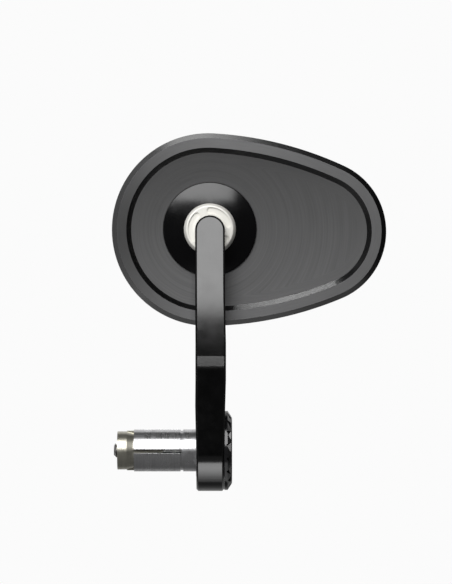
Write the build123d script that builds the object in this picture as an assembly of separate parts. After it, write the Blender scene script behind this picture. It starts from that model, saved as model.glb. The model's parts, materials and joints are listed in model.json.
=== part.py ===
from build123d import *
import os
from math import asin, atan2, cos, degrees, radians, sin, sqrt, tan

# Bar-end mirror, in millimetres. +X runs outboard along the handlebar, +Z is up, and the glass
# faces +Y. The origin is on the bar's axis, at the plane of the handlebar's end.

# Egg outline of the head: four tangent arcs, big lobe, tip and two flanks
LOBE_R = 40.5
TIP_R = 30.4
FLANK_R = 150.0
LOBE_TO_TIP = 44.4
HEAD_ROLL = 1.08
BALL_ALONG_EGG = 0.65
BALL_ACROSS_EGG = 0.15

# Depths through the head, measured from the ball's centre, growing towards the glass
RIM_DEPTH = -3.7
EDGE_CHAMFER_W = 2.0
EDGE_CHAMFER_D = 1.0
RIM_W = 4.1
STEP_W = 2.0
STEP_D = 1.6
SOCKET_SEAT_DEPTH = 0.8
SOCKET_FLOOR_DEPTH = 5.3
SOCKET_WALL = 0.9
PAD_T = 0.5
GLASS_EDGE_T = 1.6
GLASS_BULGE_R = 1400.0
FRONT_LIP = 0.4
FRONT_LIP_W = 1.35
FRONT_CHAMFER = 0.6
GLASS_GAP = 0.15
PAD_INSET = 2.5

# Ball joint
BALL_R = 11.6
BALL_FACE_R = 9.8
BALL_FACE_CHAMFER = 0.3
BALL_FACE_CHAMFER_D = 0.1
BALL_FRONT_DEPTH = 3.0
JOINT_GAP = 0.1
POCKET_R = 7.85
POCKET_W = 2.6
POCKET_D = 0.6
POCKET_SPAN = 94.0
POCKET_START = 5.0
POCKETS = 3
SOCKET_RING_R = 19.5
SOCKET_RING_GAP = 0.25
SOCKET_DOME_R = 110.0
SOCKET_LIP_DEPTH = -4.25
SOCKET_LIP_T = 0.65
SOCKET_LIP_GAP = 0.15
LINER_T = 1.0
LINER_BACK = -1.9
LINER_FRONT = 0.2
CUP_R = 14.5
CUP_BACK = 2.1
CUP_T = 2.1
SPRING_T = 0.5
SPRING_IN_R = 11.6
SPRING_OUT_R = 14.3
SOCKET_SIDE_GAP = 0.25
SOCKET_SCREWS = 3
SOCKET_SCREW_PCD_R = 17.25
SOCKET_SCREW_R = 1.5
SOCKET_SCREW_HEAD_R = 2.8
SOCKET_SCREW_HEAD_T = 1.3
SOCKET_SCREW_GRIP = 2.4
SOCKET_SCREW_START = 30.0
SOCKET_SCREW_HEX = 2.0
SOCKET_SCREW_HEX_D = 0.9

# Screws: clearance round a shank, and round a shank in its thread
SHANK_GAP = 0.1
THREAD_GAP = 0.02

# Fasteners of the ball
BALL_SCREW_R = 2.5
BALL_SCREW_HEAD_R = 4.2
BALL_SCREW_HEAD_T = 2.6
BALL_SCREW_RECESS = 2.8
BALL_SCREW_HEX = 3.0
BALL_SCREW_HEX_D = 1.5
BALL_SCREW_GRIP = 3.7
DOWEL_R = 1.0
DOWEL_LENGTH = 5.0
DOWEL_OFFSET = 4.2

# Arm, seen from the side: flat lower part, shallow shoulder, bowed and leaning upper part
ARM_LENGTH = 92.86
ARM_W = 12.5
ARM_T = 6.0
PAD_THICKNESS = 5.8
SHOULDER_Z = 34.0
SHOULDER_TOP_Z = 39.9
SHOULDER_R = 12.6
SHOULDER_LEAN = 7.9
BOW_R = 245.0
BOW_START_LEAN = 3.7
TOP_LEAN = 11.0
ARM_CHAMFER = 0.75
ARM_ROOT_FILLET = 5.0
REAR_SHOULDER_R = 12.0

# Arm, seen from the front: height, its middle outboard of the ball's, and half its width
RING_W = 11.5
ARM_STATIONS = (
    (92.36, 0.1, 6.2),
    (63.0, 0.2, 6.2),
    (45.0, 0.45, 6.35),
    (30.0, 0.45, 6.35),
    (19.4, 0.25, 6.25),
    (-1.5, 0.2, RING_W / 2),
)

# Clamp ring
RING_R = 17.0
RING_INNER_GAP = 0.15
RING_OUTER_GAP = 0.05
SPOT_FACE_R = 17.3
RUNNING_GAP = 0.05
LUG_END = 25.2
LUG_HALF_H = 8.5
LUG_CORNER_R = 2.5
SPLIT_W = 1.5
CLAMP_SCREW_R = 2.5
CLAMP_SCREW_HEAD_R = 4.25
CLAMP_SCREW_HEAD_T = 5.0
CLAMP_SCREW_HEX = 4.0
CLAMP_SCREW_HEX_D = 2.5
CLAMP_SCREW_CLEAR = 0.3
CLAMP_SCREW_FROM_RING = 2.3

# Bar-end fitting
HUB_R = 11.0
SEAT_RELIEF_W = 0.4
SEAT_RELIEF_D = 0.4
CAP_R = 16.6
CAP_BAND_W = 1.5
CAP_BEVEL_W = 1.85
CAP_FACE_R = 13.7
CAP_EDGE = 0.3
CAP_DISH_R = 11.0
CAP_DISH_D = 0.5
CAP_SPIGOT_R = 8.0
CAP_SPIGOT_L = 4.0
CAP_SPIGOT_GAP = 0.05
NOTCHES = 18
NOTCH_W = 3.0
NOTCH_FLOOR_R = 14.3
NOTCH_SKEW = 32.0
O_RING_SECTION = 0.42
O_RING_FROM_CAP = 1.1
HUB_WEB = 3.4
BOLT_R = 3.0
BOLT_HEAD_R = 5.0
BOLT_HEAD_T = 6.0
BOLT_HEX = 5.0
BOLT_HEX_D = 3.0
BOLT_PAST_CONE = 1.5
WASHER_R = 5.9
WASHER_T = 1.2
BAR_BORE_R = 9.0
SLEEVE_GAP = 0.2
SLEEVE_L = 26.0
SLEEVE_BORE_R = 4.0
SLEEVE_STRAIGHT_L = 10.0
SLEEVE_MOUTH_R = 7.4
SLEEVE_SLOTS = 4
SLEEVE_SLOT_W = 1.6
SLEEVE_RING_L = 6.0
SLEEVE_GROOVE_W = 1.2
SLEEVE_GROOVE_D = 0.5
CONE_INSERTION = 12.0
CONE_TAIL_L = 7.0
CONE_R = 8.0
KEY_W = 1.4
KEY_L = 6.0
KEY_TOP_R = 8.3

# Cutters reach this far past what they cut, and an edge is found within the other distance
OVERSHOOT = 1.0
PICK_WITHIN = 0.05

# Sizes that follow from the ones above
floor_depth = RIM_DEPTH + STEP_D
pocket_depth = SOCKET_FLOOR_DEPTH + SOCKET_WALL
glass_depth = pocket_depth + PAD_T
front_depth = glass_depth + GLASS_EDGE_T + FRONT_LIP
head_thickness = front_depth - RIM_DEPTH
ball_face_depth = -sqrt(BALL_R**2 - BALL_FACE_R**2)
socket_bore_r = CUP_R + SOCKET_SIDE_GAP
ring_x = RING_INNER_GAP + RING_W / 2
ring_top_z, ring_outboard, half_ring = ARM_STATIONS[-1]
ball_x = ring_x - ring_outboard
hub_length = RING_INNER_GAP + RING_W + RING_OUTER_GAP
sleeve_r = BAR_BORE_R - SLEEVE_GAP
lug_screw_y = RING_R + CLAMP_SCREW_FROM_RING
sleeve_taper = (SLEEVE_MOUTH_R - SLEEVE_BORE_R) / (SLEEVE_L - SLEEVE_STRAIGHT_L)
cone_nose_x = CONE_INSERTION - SLEEVE_L
cone_tail_x = -SLEEVE_L - CONE_TAIL_L

# Ends of the shoulder's round, of the shoulder and of the bow, as (y, z) on the front face
round_end = (
    -RING_R + SHOULDER_R * (1 - cos(radians(SHOULDER_LEAN))),
    SHOULDER_Z + SHOULDER_R * sin(radians(SHOULDER_LEAN)),
)
shoulder_end = (
    round_end[0] + (SHOULDER_TOP_Z - round_end[1]) * tan(radians(SHOULDER_LEAN)),
    SHOULDER_TOP_Z,
)
bow_end = (
    shoulder_end[0] + BOW_R * (cos(radians(BOW_START_LEAN)) - cos(radians(TOP_LEAN))),
    shoulder_end[1] + BOW_R * (sin(radians(TOP_LEAN)) - sin(radians(BOW_START_LEAN))),
)


def arm_front(z):
    """Y of the arm's front face, at a height above the bar's axis."""
    if z <= SHOULDER_Z:
        return -RING_R
    if z <= round_end[1]:
        turn = asin((z - SHOULDER_Z) / SHOULDER_R)
        return -RING_R + SHOULDER_R * (1 - cos(turn))
    if z <= SHOULDER_TOP_Z:
        return round_end[0] + (z - round_end[1]) * tan(radians(SHOULDER_LEAN))
    if z <= bow_end[1]:
        lean = asin((z - shoulder_end[1]) / BOW_R + sin(radians(BOW_START_LEAN)))
        return shoulder_end[0] + BOW_R * (cos(radians(BOW_START_LEAN)) - cos(lean))
    return bow_end[0] + (z - bow_end[1]) * tan(radians(TOP_LEAN))


# The arm's pad seats on the ball's face, and the head is placed by the ball's centre
seat_y = arm_front(ARM_LENGTH) + PAD_THICKNESS
ball_y = seat_y - ball_face_depth
ball_at = Pos(ball_x, ball_y, ARM_LENGTH)


def egg(inset):
    """The head's outline moved inwards, drawn about the ball's centre."""
    lobe_arm = FLANK_R - LOBE_R
    tip_arm = FLANK_R - TIP_R
    flank_x = (lobe_arm**2 - tip_arm**2 + LOBE_TO_TIP**2) / (2 * LOBE_TO_TIP)
    flank_y = sqrt(lobe_arm**2 - flank_x**2)
    lobe_angle = degrees(atan2(flank_y, -flank_x))
    tip_angle = degrees(atan2(flank_y, LOBE_TO_TIP - flank_x))
    turn = lobe_angle - tip_angle
    outline = [
        CenterArc((LOBE_TO_TIP, 0), TIP_R - inset, -tip_angle, 2 * tip_angle),
        CenterArc((flank_x, -flank_y), FLANK_R - inset, tip_angle, turn),
        CenterArc((0, 0), LOBE_R - inset, lobe_angle, 360 - 2 * lobe_angle),
        CenterArc((flank_x, flank_y), FLANK_R - inset, -lobe_angle, turn),
    ]
    at_ball = Pos(-BALL_ALONG_EGG, -BALL_ACROSS_EGG)
    return Rot(0, 0, -HEAD_ROLL) * at_ball * make_face(Wire(outline))


def at_depth(depth):
    """Plane across the head at a depth, with +X along the egg and +Z up."""
    place = (ball_x, ball_y + depth, ARM_LENGTH)
    return Plane(origin=place, x_dir=(1, 0, 0), z_dir=(0, -1, 0))


def egg_slab(inset, back, front):
    """Straight-sided egg between two depths."""
    return extrude(at_depth(front) * egg(inset), amount=front - back)


def egg_taper(back_inset, back, front_inset, front):
    """Egg whose outline grows or shrinks evenly between two depths."""
    faces = [at_depth(back) * egg(back_inset), at_depth(front) * egg(front_inset)]
    return loft(faces, ruled=True)


def turned_on_bar(profile):
    """Turned piece about the bar's axis, from (x, radius) points."""
    face = make_face(Polyline([(x, r) for x, r in profile], close=True))
    return revolve(face, Axis.X)


def turned_in_head(profile):
    """Turned piece about the ball's centre line, from (depth, radius) points."""
    return ball_at * Rot(0, 0, 90) * turned_on_bar(profile)


def head_disc(back, front, radius):
    """Cylinder on the ball's centre line."""
    return turned_in_head([(back, 0), (back, radius), (front, radius), (front, 0)])


def head_zone(radius, back, front):
    """Slice of a ball about the ball's centre, between two depths."""
    return ball_at * Sphere(radius) & head_disc(back, front, radius + OVERSHOOT)


def hex_bar(across_flats, length):
    """Hexagon socket, along +Z from the origin."""
    return extrude(RegularPolygon(across_flats / 2, 6, major_radius=False), amount=length)


def socket_screw_spots():
    """Places of the screws round the ball, turned to depth along +Z."""
    for i in range(SOCKET_SCREWS):
        turn = Rot(0, SOCKET_SCREW_START + 360 / SOCKET_SCREWS * i, 0)
        yield ball_at * turn * Pos(SOCKET_SCREW_PCD_R, 0, 0) * Rot(-90, 0, 0)


def make_head_body():
    """Milled plate with the glass recess in front and the socket in its back."""
    edge_back = RIM_DEPTH + EDGE_CHAMFER_D
    edge_front = front_depth - FRONT_CHAMFER
    body = egg_slab(0, edge_back, edge_front)
    body += egg_taper(EDGE_CHAMFER_W, RIM_DEPTH, 0, edge_back)
    body += egg_taper(0, edge_front, FRONT_CHAMFER, front_depth)
    step_out = EDGE_CHAMFER_W + RIM_W
    body -= egg_taper(step_out, RIM_DEPTH, step_out + STEP_W, floor_depth)
    body -= egg_slab(FRONT_LIP_W, pocket_depth, front_depth + OVERSHOOT)
    ring_bore_r = SOCKET_RING_R + SOCKET_RING_GAP
    body -= head_disc(floor_depth - OVERSHOOT, SOCKET_SEAT_DEPTH, ring_bore_r)
    body -= head_disc(SOCKET_SEAT_DEPTH - OVERSHOOT, SOCKET_FLOOR_DEPTH, socket_bore_r)
    for spot in socket_screw_spots():
        hole = Cylinder(SOCKET_SCREW_R + SHANK_GAP, 2 * head_thickness)
        countersink = countersunk(SOCKET_SCREW_HEAD_R, SOCKET_SCREW_R + SHANK_GAP)
        body -= spot * hole
        body -= spot * Pos(0, 0, pocket_depth) * countersink
    return body


def countersunk(head_r, shank_r):
    """Cone of a countersunk head whose top is at z 0, opening upwards."""
    head = Polyline([(0, 0), (head_r, 0), (shank_r, -SOCKET_SCREW_HEAD_T),
                     (0, -SOCKET_SCREW_HEAD_T)], close=True)
    return revolve(Plane.XZ * make_face(head), Axis.Z)


def make_socket_screws():
    """Countersunk screws from under the glass into the socket ring."""
    screws = []
    tip = SOCKET_SEAT_DEPTH - SOCKET_SCREW_GRIP
    length = pocket_depth - SOCKET_SCREW_HEAD_T - tip
    drive_at = Pos(0, 0, pocket_depth - SOCKET_SCREW_HEX_D)
    drive = drive_at * hex_bar(SOCKET_SCREW_HEX, head_thickness)
    for spot in socket_screw_spots():
        shank = Pos(0, 0, tip + length / 2) * Cylinder(SOCKET_SCREW_R, length)
        head = Pos(0, 0, pocket_depth) * countersunk(
            SOCKET_SCREW_HEAD_R - THREAD_GAP, SOCKET_SCREW_R)
        screws.append(spot * (shank + head - drive))
    return Compound(children=screws)


def make_mirror_glass():
    """Convex glass: flat at the back, spherical in front."""
    inset = FRONT_LIP_W + GLASS_GAP
    egg_middle = (LOBE_TO_TIP + TIP_R - LOBE_R) / 2 - BALL_ALONG_EGG
    half_length = (LOBE_TO_TIP + TIP_R + LOBE_R) / 2 - inset
    bulge = GLASS_BULGE_R - sqrt(GLASS_BULGE_R**2 - half_length**2)
    top = glass_depth + GLASS_EDGE_T + bulge
    blank = egg_slab(inset, glass_depth, top + OVERSHOOT)
    bulge_at = Pos(egg_middle, top - GLASS_BULGE_R, 0)
    return blank & ball_at * bulge_at * Sphere(GLASS_BULGE_R)


def make_socket_ring():
    """Domed ring that holds the ball and its liner."""
    lip_r = sqrt((BALL_R + SOCKET_LIP_GAP)**2 - SOCKET_LIP_DEPTH**2)
    dome_centre = SOCKET_LIP_DEPTH + sqrt(SOCKET_DOME_R**2 - lip_r**2)
    ring = head_disc(SOCKET_LIP_DEPTH - OVERSHOOT, SOCKET_SEAT_DEPTH, SOCKET_RING_R)
    ring &= ball_at * Pos(0, dome_centre, 0) * Sphere(SOCKET_DOME_R)
    ring -= ball_at * Sphere(BALL_R + SOCKET_LIP_GAP)
    cavity_r = BALL_R + LINER_T + 2 * JOINT_GAP
    lip_under = SOCKET_LIP_DEPTH + SOCKET_LIP_T
    ring -= head_zone(cavity_r, lip_under, SOCKET_SEAT_DEPTH + OVERSHOOT)
    for spot in socket_screw_spots():
        depth = SOCKET_SEAT_DEPTH - SOCKET_SCREW_GRIP / 2
        thread = Cylinder(SOCKET_SCREW_R + THREAD_GAP, SOCKET_SCREW_GRIP + 2 * THREAD_GAP)
        ring -= spot * Pos(0, 0, depth) * thread
    return ring


def make_joint_ball():
    """Ball with a flat face towards the arm and three kidney pockets in that face."""
    ball = head_zone(BALL_R, ball_face_depth, BALL_FRONT_DEPTH)
    chamfered_r = BALL_FACE_R - BALL_FACE_CHAMFER
    chamfer_depth = ball_face_depth + BALL_FACE_CHAMFER_D
    ball -= turned_in_head([
        (ball_face_depth, chamfered_r),
        (ball_face_depth - OVERSHOOT, chamfered_r),
        (ball_face_depth - OVERSHOOT, BALL_R),
        (chamfer_depth, sqrt(BALL_R**2 - chamfer_depth**2)),
    ])
    bore_r = BALL_SCREW_R + SHANK_GAP
    ball -= head_disc(ball_face_depth - OVERSHOOT, BALL_FRONT_DEPTH + OVERSHOOT, bore_r)
    head_bore_r = BALL_SCREW_HEAD_R + 2 * SHANK_GAP
    screw_seat = BALL_FRONT_DEPTH - BALL_SCREW_RECESS
    ball -= head_disc(screw_seat, BALL_FRONT_DEPTH + OVERSHOOT, head_bore_r)
    end_turn = degrees(POCKET_W / 2 / POCKET_R)
    for i in range(POCKETS):
        start = POCKET_START + end_turn + 360 / POCKETS * i
        middle_line = CenterArc((0, 0), POCKET_R, start, POCKET_SPAN - 2 * end_turn)
        kidney = at_depth(ball_face_depth + POCKET_D) * SlotArc(middle_line, POCKET_W)
        ball -= extrude(kidney, amount=POCKET_D + OVERSHOOT)
    return ball - dowel_at(DOWEL_R + THREAD_GAP)


def dowel_at(radius):
    """Pin half in the ball and half in the arm's pad, below the screw."""
    middle = Pos(0, ball_face_depth, -DOWEL_OFFSET)
    return ball_at * middle * Rot(90, 0, 0) * Cylinder(radius, DOWEL_LENGTH)


def make_ball_liner():
    """Thin spherical belt round the ball."""
    inner_r = BALL_R + JOINT_GAP
    return head_zone(inner_r + LINER_T, LINER_BACK, LINER_FRONT) - ball_at * Sphere(inner_r)


def make_pressure_cup():
    """Ring with a spherical seat, pressed on the ball's front half."""
    ring = head_disc(CUP_BACK, CUP_BACK + CUP_T, CUP_R)
    return ring - ball_at * Sphere(BALL_R + SOCKET_LIP_GAP)


def make_cup_spring():
    """Disc spring between the cup and the socket's floor."""
    back = CUP_BACK + CUP_T
    front = SOCKET_FLOOR_DEPTH
    return turned_in_head([
        (back, SPRING_IN_R),
        (back + SPRING_T, SPRING_IN_R),
        (front, SPRING_OUT_R),
        (front - SPRING_T, SPRING_OUT_R),
    ])


def make_ball_screw():
    """Low-head screw through the ball into the arm's pad."""
    seat = BALL_FRONT_DEPTH - BALL_SCREW_RECESS
    tip = ball_face_depth - BALL_SCREW_GRIP
    top = seat + BALL_SCREW_HEAD_T
    screw = turned_in_head([
        (tip, 0),
        (tip, BALL_SCREW_R),
        (seat, BALL_SCREW_R),
        (seat, BALL_SCREW_HEAD_R),
        (top, BALL_SCREW_HEAD_R),
        (top, 0),
    ])
    socket = Rot(-90, 0, 0) * hex_bar(BALL_SCREW_HEX, BALL_SCREW_HEAD_T)
    return screw - ball_at * Pos(0, top - BALL_SCREW_HEX_D, 0) * socket


def arm_side_profile():
    """Arm, ring and lugs seen along the bar, as (y, z)."""
    lean_dir = (sin(radians(BOW_START_LEAN)), cos(radians(BOW_START_LEAN)))
    top_dir = (sin(radians(TOP_LEAN)), cos(radians(TOP_LEAN)))
    top_z = ARM_LENGTH + ARM_W
    rear_foot = (
        shoulder_end[0] + ARM_T * cos(radians(BOW_START_LEAN)),
        shoulder_end[1] - ARM_T * sin(radians(BOW_START_LEAN)),
    )
    rear_bow_end = (
        bow_end[0] + ARM_T * cos(radians(TOP_LEAN)),
        bow_end[1] - ARM_T * sin(radians(TOP_LEAN)),
    )
    rear_seat_z = rear_bow_end[1] + (seat_y - rear_bow_end[0]) / tan(radians(TOP_LEAN))
    turn = TOP_LEAN - BOW_START_LEAN
    front_foot = Line((-RING_R, 0), (-RING_R, SHOULDER_Z))
    shoulder_round = JernArc((-RING_R, SHOULDER_Z), (0, 1), SHOULDER_R, -SHOULDER_LEAN)
    shoulder = Line(round_end, shoulder_end)
    front_bow = JernArc(shoulder_end, lean_dir, BOW_R, -turn)
    front_top = Line(bow_end, (arm_front(top_z), top_z))
    top = Line((arm_front(top_z), top_z), (seat_y, top_z))
    seat = Line((seat_y, top_z), (seat_y, rear_seat_z))
    rear_top = Line((seat_y, rear_seat_z), rear_bow_end)
    rear_bow = JernArc(rear_foot, lean_dir, BOW_R - ARM_T, -turn)
    rear_leg_y = -RING_R + ARM_T
    rear_leg_top = (rear_leg_y, SHOULDER_Z)
    rear_shoulder = Line(rear_foot, rear_leg_top)
    rear_leg = Line(rear_leg_top, (rear_leg_y, 0))
    bottom = Line((rear_leg_y, 0), (-RING_R, 0))
    bar = make_face(Wire([
        front_foot, shoulder_round, shoulder, front_bow, front_top, top, seat, rear_top,
        rear_bow, rear_shoulder, rear_leg, bottom,
    ]))
    profile = bar + Circle(RING_R)
    root = (rear_leg_y, sqrt(RING_R**2 - rear_leg_y**2))
    for corner, radius in (
        (root, ARM_ROOT_FILLET),
        (rear_leg_top, REAR_SHOULDER_R),
        (rear_foot, REAR_SHOULDER_R),
    ):
        vertex = profile.vertices().sort_by_distance(corner)[0]
        profile = fillet(vertex, radius)
    lugs = Pos((HUB_R + LUG_END) / 2, 0) * RectangleRounded(
        LUG_END - HUB_R, 2 * LUG_HALF_H, LUG_CORNER_R)
    profile += lugs
    profile -= Circle(HUB_R + RUNNING_GAP)
    split = Pos(LUG_END / 2 + OVERSHOOT, 0) * Rectangle(LUG_END + OVERSHOOT, SPLIT_W)
    return profile - split


def arm_front_outline():
    """Arm and ring seen from the front, as (x from the ball's centre, z)."""
    bottom = -RING_R - OVERSHOOT
    round_z, outboard, round_r = ARM_STATIONS[0]
    left = [(middle - half, z) for z, middle, half in ARM_STATIONS]
    right = [(middle + half, z) for z, middle, half in reversed(ARM_STATIONS)]
    corners = [(ring_outboard - half_ring, bottom), (ring_outboard + half_ring, bottom)]
    sides = Polyline(left + corners + right)
    top = CenterArc((outboard, round_z), round_r, 0, 180)
    return make_face(Wire([*sides.edges(), top]))


def make_arm():
    """Arm and split clamp ring, milled in one piece."""
    side_plane = Plane(origin=(ring_x - ARM_W, 0, 0), x_dir=(0, 1, 0), z_dir=(1, 0, 0))
    front_plane = Plane(
        origin=(ball_x, LUG_END + OVERSHOOT, 0), x_dir=(1, 0, 0), z_dir=(0, -1, 0))
    side = extrude(side_plane * arm_side_profile(), amount=2 * ARM_W)
    depth = LUG_END + RING_R + 2 * OVERSHOOT
    arm = side & extrude(front_plane * arm_front_outline(), amount=depth)
    arm = chamfer(arm.edges().filter_by(is_front_edge), ARM_CHAMFER)
    arm -= turned_on_bar([
        (ring_x + RING_W / 2, 0),
        (ring_x + RING_W / 2, SPOT_FACE_R),
        (ring_x + ARM_W, SPOT_FACE_R),
        (ring_x + ARM_W, 0),
    ])
    grip = BALL_SCREW_GRIP + 2 * THREAD_GAP
    thread_r = BALL_SCREW_R + THREAD_GAP
    arm -= head_disc(ball_face_depth - grip, ball_face_depth + OVERSHOOT, thread_r)
    arm -= dowel_at(DOWEL_R + THREAD_GAP)
    screw_at = Pos(ring_x, lug_screw_y, 0)
    seat_z = LUG_HALF_H - CLAMP_SCREW_HEAD_T
    lug_h = 2 * LUG_HALF_H
    arm -= screw_at * Pos(0, 0, -lug_h / 2) * Cylinder(CLAMP_SCREW_R + THREAD_GAP, lug_h)
    arm -= screw_at * Pos(0, 0, lug_h / 2) * Cylinder(CLAMP_SCREW_R + SHANK_GAP, lug_h)
    head_bore = Cylinder(CLAMP_SCREW_HEAD_R + SHANK_GAP, 2 * CLAMP_SCREW_HEAD_T)
    arm -= screw_at * Pos(0, 0, seat_z + CLAMP_SCREW_HEAD_T) * head_bore
    return arm


def is_front_edge(edge):
    """Whether an edge borders the arm's front face, up the sides or round the top."""
    middle = edge @ 0.5
    on_front = abs(middle.Y - arm_front(middle.Z)) < PICK_WITHIN
    on_side = abs(middle.X - ring_x) > half_ring - PICK_WITHIN
    return middle.Z > ring_top_z and on_front and (on_side or middle.Z > ARM_LENGTH)


def make_clamp_screw():
    """Socket-head pinch screw through both lugs."""
    seat_z = LUG_HALF_H - CLAMP_SCREW_HEAD_T
    tip_z = -LUG_HALF_H + CLAMP_SCREW_CLEAR
    length = seat_z - tip_z
    shank = Pos(0, 0, tip_z + length / 2) * Cylinder(CLAMP_SCREW_R, length)
    head_mid = seat_z + CLAMP_SCREW_HEAD_T / 2
    head = Pos(0, 0, head_mid) * Cylinder(CLAMP_SCREW_HEAD_R, CLAMP_SCREW_HEAD_T)
    socket_z = LUG_HALF_H - CLAMP_SCREW_HEX_D
    socket = Pos(0, 0, socket_z) * hex_bar(CLAMP_SCREW_HEX, CLAMP_SCREW_HEAD_T)
    return Pos(ring_x, lug_screw_y, 0) * (shank + head - socket)


def make_bar_end_hub():
    """Hub that the ring grips, with a mouth for the cap and a relief round the sleeve."""
    relief_r = sleeve_r - SEAT_RELIEF_W
    seat_r = BAR_BORE_R + SEAT_RELIEF_W
    return turned_on_bar([
        (0, BOLT_R + SHANK_GAP),
        (0, relief_r),
        (SEAT_RELIEF_D, relief_r),
        (SEAT_RELIEF_D, seat_r),
        (0, seat_r),
        (0, HUB_R),
        (hub_length, HUB_R),
        (hub_length, CAP_SPIGOT_R),
        (HUB_WEB, CAP_SPIGOT_R),
        (HUB_WEB, BOLT_R + SHANK_GAP),
    ])


def make_end_cap():
    """Cap with a dished face, a bevel with skewed notches and a spigot for the hub."""
    inner = hub_length
    band_end = inner + CAP_BAND_W
    face = band_end + CAP_BEVEL_W
    spigot_r = CAP_SPIGOT_R - CAP_SPIGOT_GAP
    spigot_bore_r = WASHER_R + SHANK_GAP
    groove_r = spigot_r - 2 * O_RING_SECTION
    groove_from = inner - O_RING_FROM_CAP - O_RING_SECTION
    groove_to = inner - O_RING_FROM_CAP + O_RING_SECTION
    cap = turned_on_bar([
        (inner, 0),
        (inner, spigot_bore_r),
        (inner - CAP_SPIGOT_L, spigot_bore_r),
        (inner - CAP_SPIGOT_L, spigot_r),
        (groove_from, spigot_r),
        (groove_from, groove_r),
        (groove_to, groove_r),
        (groove_to, spigot_r),
        (inner, spigot_r),
        (inner, CAP_R - CAP_EDGE),
        (inner + CAP_EDGE, CAP_R),
        (band_end, CAP_R),
        (face, CAP_FACE_R),
        (face, CAP_DISH_R),
        (face - CAP_DISH_D, CAP_DISH_R - CAP_DISH_D),
        (face - CAP_DISH_D, 0),
    ])
    depth = CAP_R - NOTCH_FLOOR_R
    for i in range(NOTCHES):
        cutter = Pos(0, 0, depth / 2) * Box(2 * CAP_BEVEL_W, NOTCH_W, depth)
        cutter = Pos(band_end + CAP_BEVEL_W, 0, NOTCH_FLOOR_R) * Rot(0, 0, NOTCH_SKEW) * cutter
        cap -= Rot(360 / NOTCHES * i, 0, 0) * cutter
    return cap


def make_cap_o_ring():
    """Seal in the spigot's groove."""
    mid_r = CAP_SPIGOT_R - CAP_SPIGOT_GAP - O_RING_SECTION
    ring = Torus(mid_r, O_RING_SECTION - THREAD_GAP)
    return Pos(hub_length - O_RING_FROM_CAP, 0, 0) * Rot(0, 90, 0) * ring


def make_bolt_washer():
    """Washer under the expander bolt's head."""
    inner_r = BOLT_R + SHANK_GAP
    return turned_on_bar([
        (HUB_WEB, inner_r),
        (HUB_WEB, WASHER_R),
        (HUB_WEB + WASHER_T, WASHER_R),
        (HUB_WEB + WASHER_T, inner_r),
    ])


def make_expander_bolt():
    """Socket-head bolt that pulls the cone into the sleeve."""
    seat = HUB_WEB + WASHER_T
    top = seat + BOLT_HEAD_T
    tip = cone_tail_x - BOLT_PAST_CONE
    bolt = turned_on_bar([
        (tip, 0),
        (tip, BOLT_R),
        (seat, BOLT_R),
        (seat, BOLT_HEAD_R),
        (top, BOLT_HEAD_R),
        (top, 0),
    ])
    socket = Rot(0, 90, 0) * hex_bar(BOLT_HEX, BOLT_HEAD_T)
    return bolt - Pos(top - BOLT_HEX_D, 0, 0) * socket


def cone_radius(x):
    """Radius of the cone, just clear of the sleeve's taper."""
    return SLEEVE_BORE_R - (x + SLEEVE_STRAIGHT_L) * sleeve_taper - RUNNING_GAP


def make_expander_sleeve():
    """Sleeve with a tapered mouth, slotted up to the groove where its fingers bend."""
    groove_middle = -SLEEVE_RING_L
    groove_r = sleeve_r - SLEEVE_GROOVE_D
    sleeve = turned_on_bar([
        (0, SLEEVE_BORE_R),
        (0, sleeve_r),
        (groove_middle + SLEEVE_GROOVE_W / 2, sleeve_r),
        (groove_middle + SLEEVE_GROOVE_W / 2, groove_r),
        (groove_middle - SLEEVE_GROOVE_W / 2, groove_r),
        (groove_middle - SLEEVE_GROOVE_W / 2, sleeve_r),
        (-SLEEVE_L, sleeve_r),
        (-SLEEVE_L, SLEEVE_MOUTH_R),
        (-SLEEVE_STRAIGHT_L, SLEEVE_BORE_R),
    ])
    slot_l = SLEEVE_L - SLEEVE_RING_L
    for i in range(SLEEVE_SLOTS):
        slot = Box(slot_l + OVERSHOOT, SLEEVE_SLOT_W, sleeve_r + OVERSHOOT)
        middle = -SLEEVE_L + (slot_l - OVERSHOOT) / 2
        place = Rot(360 / SLEEVE_SLOTS * i, 0, 0) * Pos(middle, 0, (sleeve_r + OVERSHOOT) / 2)
        sleeve -= place * slot
    return sleeve


def make_expander_cone():
    """Tapered nut with two keys that run in the sleeve's slots."""
    straight_x = -SLEEVE_STRAIGHT_L - (CONE_R + RUNNING_GAP - SLEEVE_BORE_R) / sleeve_taper
    bore_r = BOLT_R + THREAD_GAP
    cone = turned_on_bar([
        (cone_nose_x, bore_r),
        (cone_nose_x, cone_radius(cone_nose_x)),
        (straight_x, CONE_R),
        (cone_tail_x, CONE_R),
        (cone_tail_x, bore_r),
    ])
    key_from = cone_radius(-SLEEVE_L) - OVERSHOOT
    for side in (0, 180):
        key = Box(KEY_L, KEY_W, KEY_TOP_R - key_from)
        place = Pos(-SLEEVE_L, 0, (KEY_TOP_R + key_from) / 2)
        cone += Rot(side, 0, 0) * place * key
    return cone


pieces = {
    "head_body": make_head_body(),
    "mirror_glass": make_mirror_glass(),
    "glass_bonding_pad": egg_slab(PAD_INSET, pocket_depth, glass_depth),
    "socket_ring": make_socket_ring(),
    "socket_screws": make_socket_screws(),
    "cup_spring": make_cup_spring(),
    "ball_liner": make_ball_liner(),
    "pressure_cup": make_pressure_cup(),
    "arm": make_arm(),
    "joint_ball": make_joint_ball(),
    "ball_screw": make_ball_screw(),
    "ball_dowel": dowel_at(DOWEL_R),
    "clamp_screw": make_clamp_screw(),
    "bar_end_hub": make_bar_end_hub(),
    "end_cap": make_end_cap(),
    "cap_o_ring": make_cap_o_ring(),
    "expander_bolt": make_expander_bolt(),
    "bolt_washer": make_bolt_washer(),
    "expander_sleeve": make_expander_sleeve(),
    "expander_cone": make_expander_cone(),
}

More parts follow.
